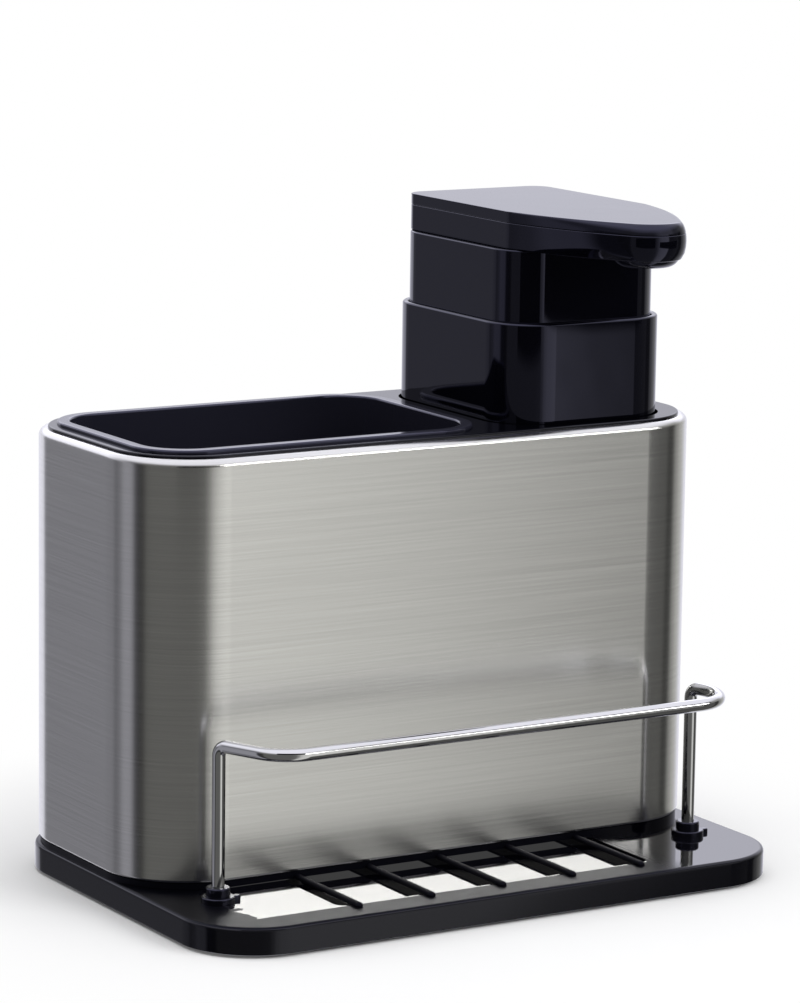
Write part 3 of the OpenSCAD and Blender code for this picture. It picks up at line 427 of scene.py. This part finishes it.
brushed_steel = brushed_metal("brushed_steel", (0.66, 0.655, 0.635), 0.22, 0.05, 0.000002, 0.6)
sleeve_top = 0.151
sleeve = slab("sleeve", sleeve_axis, (0.220, 0.101), 0.030, plinth_top, sleeve_top, 40)
pick_level(sleeve_top, 1)
round_rim(0.0025, 8)
pick_level(plinth_top, -1)
round_rim(0.0012, 5)
pick_level(sleeve_top, 1)
bpy.ops.mesh.inset(thickness=0.003)
bpy.ops.mesh.delete(type="FACE")
pick_level(plinth_top, -1)
bpy.ops.mesh.inset(thickness=0.0041)
bpy.ops.mesh.delete(type="FACE")
bpy.ops.object.mode_set(mode="OBJECT")
sheet = sleeve.modifiers.new("sheet", "SOLIDIFY")
sheet.thickness = 0.0006
sheet.offset = -1
sheet.use_even_offset = True
bpy.ops.object.modifier_apply(modifier=sheet.name)
smooth_off(sleeve)
fit(sleeve, "stand", brushed_steel, "brushed_steel", "steel_sleeve")

# Inner frame: a black moulding that is pressed down over the sleeve's top curl. It holds the
# bottle's well and two screw legs, and its lip shows as a thin black step round the mouth.
pump_axis, bin_axis = (0.0637, 0.0245), (-0.0398, 0.0245)
lip_top, bottle_foot, well_floor = 0.152, 0.0192, 0.0172
lip = slab("inner_frame_lip", sleeve_axis, (0.214, 0.095), 0.027, sleeve_top, lip_top, 32)
pick_level(lip_top, 1)
round_rim(0.0006, 4)
band = slab("band", sleeve_axis, (0.2082, 0.0892), 0.0241, 0.145, 0.1512, 32)
combine(lip, band, "UNION")
mouth = slab("mouth", bin_axis, (0.1214, 0.0820), 0.0172, 0.140, 0.160, 24)
combine(lip, mouth, "DIFFERENCE")
well = slab("well", pump_axis, (0.0712, 0.0888), 0.0199, plinth_top, sleeve_top, 24)
combine(lip, well, "UNION")
hollow = slab("hollow", pump_axis, (0.068, 0.0856), 0.0183, bottle_foot, 0.160, 24)
combine(lip, hollow, "DIFFERENCE")
under = slab("under", pump_axis, (0.068, 0.0856), 0.0183, 0.0100, well_floor, 24)
combine(lip, under, "DIFFERENCE")
combine(lip, rod("drain", pump_axis, 0.005, 0.0150, 0.0220), "DIFFERENCE")
for place in screw_places[2:]:
    combine(lip, rod("boss", place, 0.0045, plinth_top, 0.0174), "UNION")
for front, reach in ((-0.0201, 1), (0.0691, -1)):
    for thick, high in ((0.0034, 0.1452), (0.007, 0.0232)):
        middle = (-0.060, front + reach * thick / 2)
        leg = slab("leg", middle, (0.014, thick), 0.0008, plinth_top, high, 3)
        combine(lip, leg, "UNION")
smooth_off(lip)
fit(lip, "stand", gloss_black, "gloss_black", "inner_frame")

# Utensil bin: a thin black moulding with a draft, a rounded rim that hangs on the frame's lip
# and five drain slots. It lifts out for washing.
# The bin's black is a little lighter and bluer than the other black mouldings. This is painted
# light, standing in for the light on its inner walls.
bin_black = moulded_plastic("bin_black", (0.014, 0.014, 0.022), 0.09, 0.10, 0.8)
rim_top, bin_foot, bin_floor = 0.1532, 0.0142, 0.0162


def taper(size, new_size, middle, z):
    """Scales the picked faces from one plan size to another, round a middle at height z."""
    shares = [new / old for new, old in zip(new_size, size)]
    bpy.ops.transform.resize(value=(*shares, 1), center_override=(*middle, z))


tub = slab("utensil_bin_shell", bin_axis, (0.1262, 0.0868), 0.0196, lip_top, rim_top, 32)
pick_level(lip_top, -1)
sink(0.0028, 0.1378)
taper((0.1206, 0.0812), (0.1126, 0.0732), bin_axis, bin_foot)
pick_level(bin_foot, -1)
round_rim(0.0015, 4)
pick_level(rim_top, 1)
sink(0.0044, 0.137)
taper((0.1174, 0.0780), (0.1094, 0.0700), bin_axis, bin_floor)
pick_level(bin_floor, 1)
round_rim(0.0012, 4)
pick_level(rim_top, 1)
round_rim(0.0008, 4)
slot_pitch = 0.017
for place in range(-2, 3):
    middle = (bin_axis[0] + place * slot_pitch, bin_axis[1])
    slot = slab("slot", middle, (0.004, 0.050), 0.0019, 0.010, 0.020, 8)
    combine(tub, slot, "DIFFERENCE")
smooth_off(tub)
fit(tub, "bin", bin_black, "bin_black", "utensil_bin")

# Rail: one length of steel wire, bent cold and chromed bright. It leaves the left post leaning
# inwards, runs along the front, and comes back to the right post in a round loop.
rail_chrome, tree, shader = new_material("rail_chrome", (0.64, 0.64, 0.64), metallic=1.0)
mark = noise_of(tree, tree.nodes.new("ShaderNodeTexCoord").outputs["Object"], 260, 5)
tree.links.new(
    calculate(tree, "ADD", calculate(tree, "MULTIPLY", mark.outputs["Fac"], 0.07), 0.03),
    shader.inputs["Roughness"],
)
add_bump(tree, shader, mark.outputs["Fac"], 0.00002)


def wire_side(lean, bend, steps=16):
    """Middle line of one side of the rail from foot to front, drawn for the right side."""
    lean = math.radians(lean)
    outward = Vector((math.sin(lean), -math.cos(lean), 0))
    post = Vector((post_x, post_y, 0))
    top, corner, reach_out = 0.0613, 0.0032, 0.0234
    arm = (reach_out - bend * (1 + math.sin(lean))) / math.cos(lean) - corner
    hub = post + (corner + arm) * outward - bend * Vector((math.cos(lean), math.sin(lean), 0))
    line = [post + Vector((0, 0, 0.004)), post + Vector((0, 0, 0.030))]
    for i in range(steps + 1):
        a = math.pi / 2 * i / steps
        line.append(post + corner * (1 - math.cos(a)) * outward
                    + Vector((0, 0, top - corner * (1 - math.sin(a)))))
    for i in range(steps + 1):
        a = lean - (math.pi / 2 + lean) * i / steps
        line.append(Vector((hub.x + bend * math.cos(a), hub.y + bend * math.sin(a), top)))
    return line


left_half = [Vector((-p.x, p.y, p.z)) for p in wire_side(-23, 0.014)]
path = wire_side(20, 0.0148) + left_half[::-1]
bpy.ops.object.select_all(action="DESELECT")
bpy.ops.curve.primitive_nurbs_path_add()
rail = bpy.context.object
rail.name = "rail"
rail.location = (0, 0, 0)
rail.data.splines.clear()
run = rail.data.splines.new("POLY")
run.points.add(len(path) - 1)
for point, at in zip(run.points, path):
    point.co = (*at, 1)
rail.data.bevel_depth = 0.00215
rail.data.bevel_resolution = 10
rail.data.use_fill_caps = True
bpy.ops.object.convert(target="MESH")
smooth_off(rail, 50)
fit(rail, "stand", rail_chrome, "rail_chrome", "wire_rail")

# Collars: two small black mouldings pushed down over the posts, with a wide flange, a short
# neck and a finger tab, which close the holes in the deck.
collar_black = moulded_plastic("collar_black", deep_black, 0.06, 0.08, 0.6)
flange_r, flange_top, neck_top, tab_top = 0.0055, 0.012, 0.015, 0.0115
for side, word in ((-1, "left"), (1, "right")):
    post = (side * post_x, post_y)
    collar = rod("collar_" + word, post, flange_r, deck_top, flange_top)
    pick_level(flange_top, 1)
    sink(0.0015, flange_top - neck_top)
    pick_level(neck_top, 1)
    round_rim(0.0006, 4)
    pick_edges(lambda at, along: abs(at.z - flange_top) < 1e-5 and math.dist(at.xy, post) > 0.005)
    bpy.ops.mesh.bevel(offset=0.0005, segments=4, affect="EDGES")
    beside = (post[0] + flange_r, post[1])
    tab = slab("tab", beside, (0.0048, 0.0024), 0.0007, deck_top, tab_top, 4)
    pick_level(tab_top, 1)
    round_rim(0.0004, 3)
    combine(collar, tab, "UNION")
    combine(collar, rod("bore", post, hole_r, 0.008, 0.017), "DIFFERENCE")
    smooth_off(collar)
    fit(collar, "stand", collar_black, "collar_black", "rail_collars")

# Soap bottle: a deep black moulding with a mirror gloss, open at the top, with a ledge inside
# on which the neck plate is welded. It stands in the frame's well and lifts out.
bottle_black = moulded_plastic("bottle_black", deep_black, 0.04, 0.05, 1.2)
bottle_top, ledge_foot = 0.1858, 0.1659
bottle = slab("bottle", pump_axis, (0.066, 0.0836), 0.0173, bottle_foot, bottle_top, 32)
pick_level(bottle_top, 1)
sink(0.002, 0.0175)
sink(0.0012, 0.0024)
sink(0, 0)
taper((0.0596, 0.0772), (0.062, 0.0796), pump_axis, ledge_foot)
sink(0, 0.1442)
pick_level(bottle_top, 1)
round_rim(0.0009, 5)
pick_level(bottle_foot, -1)
round_rim(0.0010, 4)
smooth_off(bottle)
fit(bottle, "bottle", bottle_black, "bottle_black", "soap_bottle")

# Press skirt: a black cap with thin walls that is pushed on the pump's stem and dips into the
# bottle's open top when the head is pressed.
pump_black = moulded_plastic("pump_black", deep_black, 0.04, 0.05, 1.2)
skirt_foot, head_foot = 0.1833, 0.2101
skirt = slab("skirt", pump_axis, (0.0612, 0.0788), 0.0149, skirt_foot, head_foot, 32)
pick_level(skirt_foot, -1)
sink(0.002, -0.0248)
pick_level(head_foot, 1)
round_rim(0.0006, 4)
combine(skirt, rod("socket", pump_axis, 0.0066, 0.2015, 0.2085), "UNION")
combine(skirt, rod("stem_bore", pump_axis, 0.00405, 0.1990, 0.2070), "DIFFERENCE")
combine(skirt, rod("soap_bore", pump_axis, 0.0022, 0.2000, 0.2120), "DIFFERENCE")
smooth_off(skirt)
fit(skirt, "press_cap", pump_black, "pump_black", "press_skirt")

# Press head: a flat hollow body with straight sides at the back and two bulging sides that meet
# in a round, full nose, with a spout that hangs below it.
def head_outline(inset, belly=0.0):
    """Points round the head from above, an inset inside, the nose let out by its belly."""
    half, back, back_r, side_end = 0.0281, 0.0373, 0.0067, -0.0282
    nose_y, nose_r, bulge, turn = -0.0706, 0.0105, 0.0024, math.radians(30)

    def arc(hub, radius, start, end, steps):
        return [Vector((hub[0] + radius * math.cos(start + (end - start) * i / steps),
                        hub[1] + radius * math.sin(start + (end - start) * i / steps)))
                for i in range(steps + 1)]

    p = Vector((half - inset, side_end))
    tip_r = nose_r + belly - inset
    q = Vector((tip_r * math.cos(turn), nose_y - tip_r * math.sin(turn)))
    chord = (p - q).length
    radius = (chord * chord / 4 + bulge * bulge) / (2 * bulge)
    lean = math.atan2(p.x - q.x, p.y - q.y)
    reach_half = math.asin(chord / 2 / radius)
    hub = (p + q) / 2 - (radius - bulge) * Vector((math.cos(lean), -math.sin(lean)))
    right = arc((half - back_r, back - back_r), back_r - inset, math.pi / 2, 0, 16)
    right += arc(hub, radius, reach_half - lean, -reach_half - lean, 24)
    right += arc((0, nose_y), tip_r, -turn, -math.pi / 2, 20)[1:]
    left = [Vector((-v.x, v.y)) for v in right[-2::-1]]
    return right + left


def head_slab(name, inset, low, high, rings=1):
    """Adds a layer of the head in edit mode. With several rings, its nose bellies out."""
    if bpy.context.mode != "OBJECT":
        bpy.ops.object.mode_set(mode="OBJECT")
    bpy.ops.object.select_all(action="DESELECT")
    belly_z, belly_half, belly_out = 0.2162, 0.0065, 0.0026

    def ring(step):
        height = low + (high - low) * math.sin(math.pi / 2 * step / rings)
        off = (height - belly_z) / belly_half
        belly = belly_out * math.sqrt(max(0.0, 1 - off * off)) if rings > 1 else 0.0
        outline = head_outline(inset, belly)
        return [(pump_axis[0] + at.x, pump_axis[1] + at.y, height) for at in outline]

    bpy.ops.mesh.primitive_circle_add(vertices=len(ring(0)), radius=0.05, fill_type="NGON")
    piece = bpy.context.object
    piece.name = piece.data.name = name
    for vertex, at in zip(piece.data.vertices, ring(0)):
        vertex.co = at
    bpy.ops.object.mode_set(mode="EDIT")
    bpy.ops.mesh.select_all(action="SELECT")
    for step in range(1, rings + 1):
        rise = ring(step)[0][2] - ring(step - 1)[0][2]
        bpy.ops.mesh.extrude_region_move(TRANSFORM_OT_translate={"value": (0, 0, rise)})
        mesh = bmesh.from_edit_mesh(piece.data)
        picked = [v for v in mesh.verts if v.select]
        for before, at in zip(ring(step - 1), ring(step)):
            vertex = min(picked, key=lambda v: (v.co.xy - Vector(before[:2])).length)
            picked.remove(vertex)
            vertex.co = at
        bmesh.update_edit_mesh(piece.data)
    bpy.ops.mesh.select_all(action="SELECT")
    bpy.ops.mesh.normals_make_consistent(inside=False)
    return piece


nose = (pump_axis[0], pump_axis[1] - 0.0706)
seam, spout_foot = 0.2189, 0.2076
head = head_slab("head", 0, head_foot, seam, 6)
pick_level(head_foot, -1)
round_rim(0.0005, 3)
pick_level(seam, 1)
round_rim(0.0003, 3)
spout = rod("spout", nose, 0.0112, spout_foot, 0.2150, 64)
pick_level(spout_foot, -1)
round_rim(0.0045, 10)
combine(head, spout, "UNION")
combine(head, head_slab("hollow", 0.002, 0.2121, 0.2300), "DIFFERENCE")
for hole in (pump_axis, nose):
    combine(head, rod("tube_hole", hole, 0.0031, 0.2050, 0.2130), "DIFFERENCE")
smooth_off(head)
fit(head, "press_cap", pump_black, "pump_black", "head_body")

# Cover: the flat lid of the press head, clipped into it, a little less glossy where fingers
# press. A fine seam runs all round between the two.
cover_black = moulded_plastic("cover_black", deep_black, 0.06, 0.12, 0.8)
head_top, clip_foot = 0.2227, 0.2177
cover = head_slab("cover", 0, seam, head_top, 6)
pick_level(head_top, 1)
round_rim(0.0004, 4)
pick_level(seam, -1)
round_rim(0.0003, 3)
clip_rim = head_slab("clip_rim", 0.00205, clip_foot, 0.2192)
pick_level(clip_foot, -1)
sink(0.0015, -0.0012)
combine(cover, clip_rim, "UNION")
smooth_off(cover)
fit(cover, "press_cap", cover_black, "cover_black", "head_plate")

# Hidden pieces: natural polypropylene tubes of the pump, black inner mouldings, grey seals,
# a steel ball and plated screws, each made as in any lotion pump.
def soft_plastic(name, colour, roughness, subsurface=0.0):
    """Unpolished moulding of a pump part."""
    material, tree, shader = new_material(name, colour)
    shader.inputs["Subsurface Weight"].default_value = subsurface
    shader.inputs["Subsurface Radius"].default_value = (0.003, 0.003, 0.003)
    skin = tree.nodes.new("ShaderNodeGroup")
    skin.node_tree = skin_effect
    skin.inputs["Roughness"].default_value = roughness
    skin.inputs["Wiping"].default_value = 0.15
    skin.inputs["Waves"].default_value = 0.4
    tree.links.new(skin.outputs["Roughness"], shader.inputs["Roughness"])
    add_bump(tree, shader, skin.outputs["Height"], 0.0001)
    return material


finishes = {
    "natural_plastic": soft_plastic("natural_plastic", (0.78, 0.78, 0.75), 0.35, 0.2),
    "piston_plastic": soft_plastic("piston_plastic", (0.62, 0.68, 0.74), 0.35, 0.1),
    "inner_black": soft_plastic("inner_black", (0.03, 0.03, 0.033), 0.4),
    "gasket_rubber": soft_plastic("gasket_rubber", (0.55, 0.55, 0.52), 0.7),
    "foot_rubber": soft_plastic("foot_rubber", (0.03, 0.03, 0.03), 0.75),
    "screw_steel": brushed_metal("screw_steel", (0.6, 0.6, 0.61), 0.3, 0.1, 0.000002),
    "ball_steel": brushed_metal("ball_steel", (0.65, 0.65, 0.66), 0.12, 0.03, 0.000001),
}
for part in frame["record"]["subparts"]:
    node = frame["nodes"][part["node"]]
    if part["material_slot"] in finishes:
        node.data.materials.clear()
        node.data.materials.append(finishes[part["material_slot"]])

# Return spring: wound from stainless wire, with its foot on the ball cage. Its copy rides with
# the bottle at one length.
bpy.ops.object.select_all(action="DESELECT")
coil = bpy.data.objects.new("spring_coil", frame["nodes"]["pump_spring"].data.copy())
coil.matrix_world = frame["nodes"]["pump_spring"].matrix_world
bpy.context.collection.objects.link(coil)
smooth_off(coil, 50)
fit(coil, "bottle", finishes["ball_steel"], "ball_steel", "pump_spring")
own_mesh(coil)

# Floor and light: a pale worktop under a soft white tent, with one large lamp at the front right
# and one overhead. Mirror surfaces see darker and lighter walls of the tent.
bpy.ops.mesh.primitive_circle_add(vertices=96, radius=6, fill_type="NGON", location=(0, 0, 0))
floor = bpy.context.object
floor.name = "floor"
paper = bpy.data.materials.new("paper")
paper.use_nodes = True
tree = paper.node_tree
spot = tree.nodes["Principled BSDF"]
spot.inputs["Base Color"].default_value = (0.86, 0.86, 0.86, 1)
spot.inputs["Roughness"].default_value = 0.9
spot.inputs["Specular IOR Level"].default_value = 0.1
white = tree.nodes.new("ShaderNodeEmission")
white.inputs["Strength"].default_value = 1.0
reach = tree.nodes.new("ShaderNodeVectorMath")
reach.operation = "LENGTH"
tree.links.new(tree.nodes.new("ShaderNodeTexCoord").outputs["Object"], reach.inputs[0])
fade = tree.nodes.new("ShaderNodeMapRange")
fade.interpolation_type = "SMOOTHSTEP"
fade.inputs["From Min"].default_value = 0.10
fade.inputs["From Max"].default_value = 0.22
tree.links.new(reach.outputs["Value"], fade.inputs["Value"])
blend = tree.nodes.new("ShaderNodeMixShader")
tree.links.new(fade.outputs["Result"], blend.inputs["Fac"])
tree.links.new(spot.outputs["BSDF"], blend.inputs[1])
tree.links.new(white.outputs["Emission"], blend.inputs[2])
tree.links.new(blend.outputs["Shader"], tree.nodes["Material Output"].inputs["Surface"])
floor.data.materials.append(paper)
floor.visible_glossy = False

world = bpy.data.worlds.new("tent")
bpy.context.scene.world = world
world.use_nodes = True
tree = world.node_tree
direction = tree.nodes.new("ShaderNodeTexCoord").outputs["Generated"]
turn = tree.nodes.new("ShaderNodeTexGradient")
turn.gradient_type = "RADIAL"
tree.links.new(direction, turn.inputs["Vector"])


def wall(stops):
    """Band of the tent's wall, from stops of turn and brightness."""
    ramp = tree.nodes.new("ShaderNodeValToRGB")
    ramp.color_ramp.interpolation = "EASE"
    while len(ramp.color_ramp.elements) < len(stops):
        ramp.color_ramp.elements.new(0.5)
    for element, (position, value) in zip(ramp.color_ramp.elements, stops):
        element.position = position
        element.color = (value, value, value * (1.12 if position > 0.55 else 0.97), 1)
    tree.links.new(turn.outputs["Fac"], ramp.inputs["Fac"])
    return ramp.outputs["Color"]


low_wall = wall([
    (0.0, 0.04), (0.012, 0.05), (0.03, 0.145), (0.20, 0.145), (0.232, 0.17), (0.247, 0.32),
    (0.265, 0.62), (0.285, 0.77), (0.333, 0.84), (0.341, 0.76), (0.3445, 0.30), (0.350, 0.09),
    (0.44, 0.11), (0.45, 0.05), (0.475, 0.05), (0.50, 0.33), (0.54, 0.55), (0.60, 0.90),
    (0.78, 0.95), (0.80, 0.25), (0.875, 0.25), (0.893, 0.15), (0.91, 0.20), (0.935, 0.35),
    (0.965, 0.35), (0.985, 0.05),
])
high_wall = wall([
    (0.0, 0.20), (0.20, 0.20), (0.28, 0.6), (0.37, 0.6), (0.42, 0.3), (0.5, 0.4), (0.58, 1.3),
    (0.66, 2.1), (0.80, 1.4), (0.90, 0.6), (0.96, 0.20),
])
split = tree.nodes.new("ShaderNodeSeparateXYZ")
tree.links.new(direction, split.inputs["Vector"])
height = tree.nodes.new("ShaderNodeMapRange")
height.inputs["From Min"].default_value = 0.16
height.inputs["From Max"].default_value = 0.28
tree.links.new(split.outputs["Z"], height.inputs["Value"])
walls = tree.nodes.new("ShaderNodeMix")
walls.data_type = "RGBA"
tree.links.new(height.outputs["Result"], walls.inputs["Factor"])
tree.links.new(low_wall, walls.inputs[6])
tree.links.new(high_wall, walls.inputs[7])
upper = tree.nodes.new("ShaderNodeMapRange")
upper.inputs["From Min"].default_value = 0.4
upper.inputs["From Max"].default_value = 0.7
tree.links.new(split.outputs["Z"], upper.inputs["Value"])
ceiling = tree.nodes.new("ShaderNodeMix")
ceiling.data_type = "RGBA"
ceiling.inputs[7].default_value = (1.2, 1.2, 1.32, 1)
tree.links.new(upper.outputs["Result"], ceiling.inputs["Factor"])
tree.links.new(walls.outputs[2], ceiling.inputs[6])
rays = tree.nodes.new("ShaderNodeLightPath")
mirrored = tree.nodes.new("ShaderNodeMix")
mirrored.data_type = "RGBA"
mirrored.inputs[6].default_value = (0.55, 0.55, 0.56, 1)
tree.links.new(rays.outputs["Is Glossy Ray"], mirrored.inputs["Factor"])
tree.links.new(ceiling.outputs[2], mirrored.inputs[7])
seen = tree.nodes.new("ShaderNodeMix")
seen.data_type = "RGBA"
seen.inputs[7].default_value = (1, 1, 1, 1)
tree.links.new(rays.outputs["Is Camera Ray"], seen.inputs["Factor"])
tree.links.new(mirrored.outputs[2], seen.inputs[6])
tree.links.new(seen.outputs[2], tree.nodes["Background"].inputs["Color"])


def softbox(name, place, aim, size, power):
    """Adds a square soft lamp that looks at a point and stays out of the picture."""
    bpy.ops.object.light_add(type="AREA", location=place)
    lamp = bpy.context.object
    lamp.name = name
    lamp.data.size = size
    lamp.data.energy = power
    lamp.rotation_euler = (Vector(aim) - Vector(place)).to_track_quat("-Z", "Y").to_euler()
    lamp.visible_camera = lamp.visible_glossy = False


softbox("key", (0.62, -1.05, 0.75), (0, 0, 0.08), 0.8, 12)
# Black flags, clear below, are seen only by mirror surfaces. They stand in front of the caddy and
# at the camera, so the pump above the steel reflects them and stays deep black.
cloth = bpy.data.materials.new("flag_cloth")
cloth.use_nodes = True
tree = cloth.node_tree
black = tree.nodes["Principled BSDF"]
black.inputs["Base Color"].default_value = (0.003, 0.003, 0.003, 1)
black.inputs["Roughness"].default_value = 1.0
clear = tree.nodes.new("ShaderNodeBsdfTransparent")
across = tree.nodes.new("ShaderNodeSeparateXYZ")
tree.links.new(tree.nodes.new("ShaderNodeTexCoord").outputs["Object"], across.inputs["Vector"])
edge = tree.nodes.new("ShaderNodeMapRange")
edge.inputs["From Min"].default_value = -0.5
edge.inputs["From Max"].default_value = -0.42
tree.links.new(across.outputs["Y"], edge.inputs["Value"])
part_clear = tree.nodes.new("ShaderNodeMixShader")
tree.links.new(edge.outputs["Result"], part_clear.inputs["Fac"])
tree.links.new(clear.outputs["BSDF"], part_clear.inputs[1])
tree.links.new(black.outputs["BSDF"], part_clear.inputs[2])
tree.links.new(part_clear.outputs["Shader"], tree.nodes["Material Output"].inputs["Surface"])
for name, place, facing, wide, high in (
    ("flag_front", (0.19, -0.24, 0.176), 31, 0.26, 0.06),
    ("flag_camera", (-0.115, -0.267, 0.185), -31, 0.30, 0.12),
):
    bpy.ops.mesh.primitive_plane_add(size=1, location=place)
    flag = bpy.context.object
    flag.name = name
    flag.rotation_euler = (math.pi / 2, 0, math.radians(facing))
    flag.scale = (wide, high, 1)
    flag.data.materials.append(cloth)
    flag.visible_camera = flag.visible_diffuse = False
    flag.visible_shadow = flag.visible_transmission = False

softbox("overhead", (-0.2, 0.1, 1.5), (0, 0, 0.1), 1.0, 9)

# Strip lamp, far out to the front right and just above the level. It lights the steel and the
# rail only. The steel's foot throws it on to the polished pan, where it shows as bright bays.
bpy.ops.object.light_add(type="AREA", location=(0.975, -1.615, 0.685))
strip = bpy.context.object
strip.name = "strip"
strip.data.shape = "RECTANGLE"
strip.data.size = 1.5
strip.data.size_y = 0.18
strip.data.energy = 9.5
strip.rotation_euler = (Vector((0, 0, 0.02)) - strip.location).to_track_quat("-Z", "Y").to_euler()
strip.visible_camera = strip.visible_diffuse = False
lit = bpy.data.collections.new("lit_by_strip")
for piece in (sleeve, rail):
    lit.objects.link(piece)
strip.light_linking.receiver_collection = lit
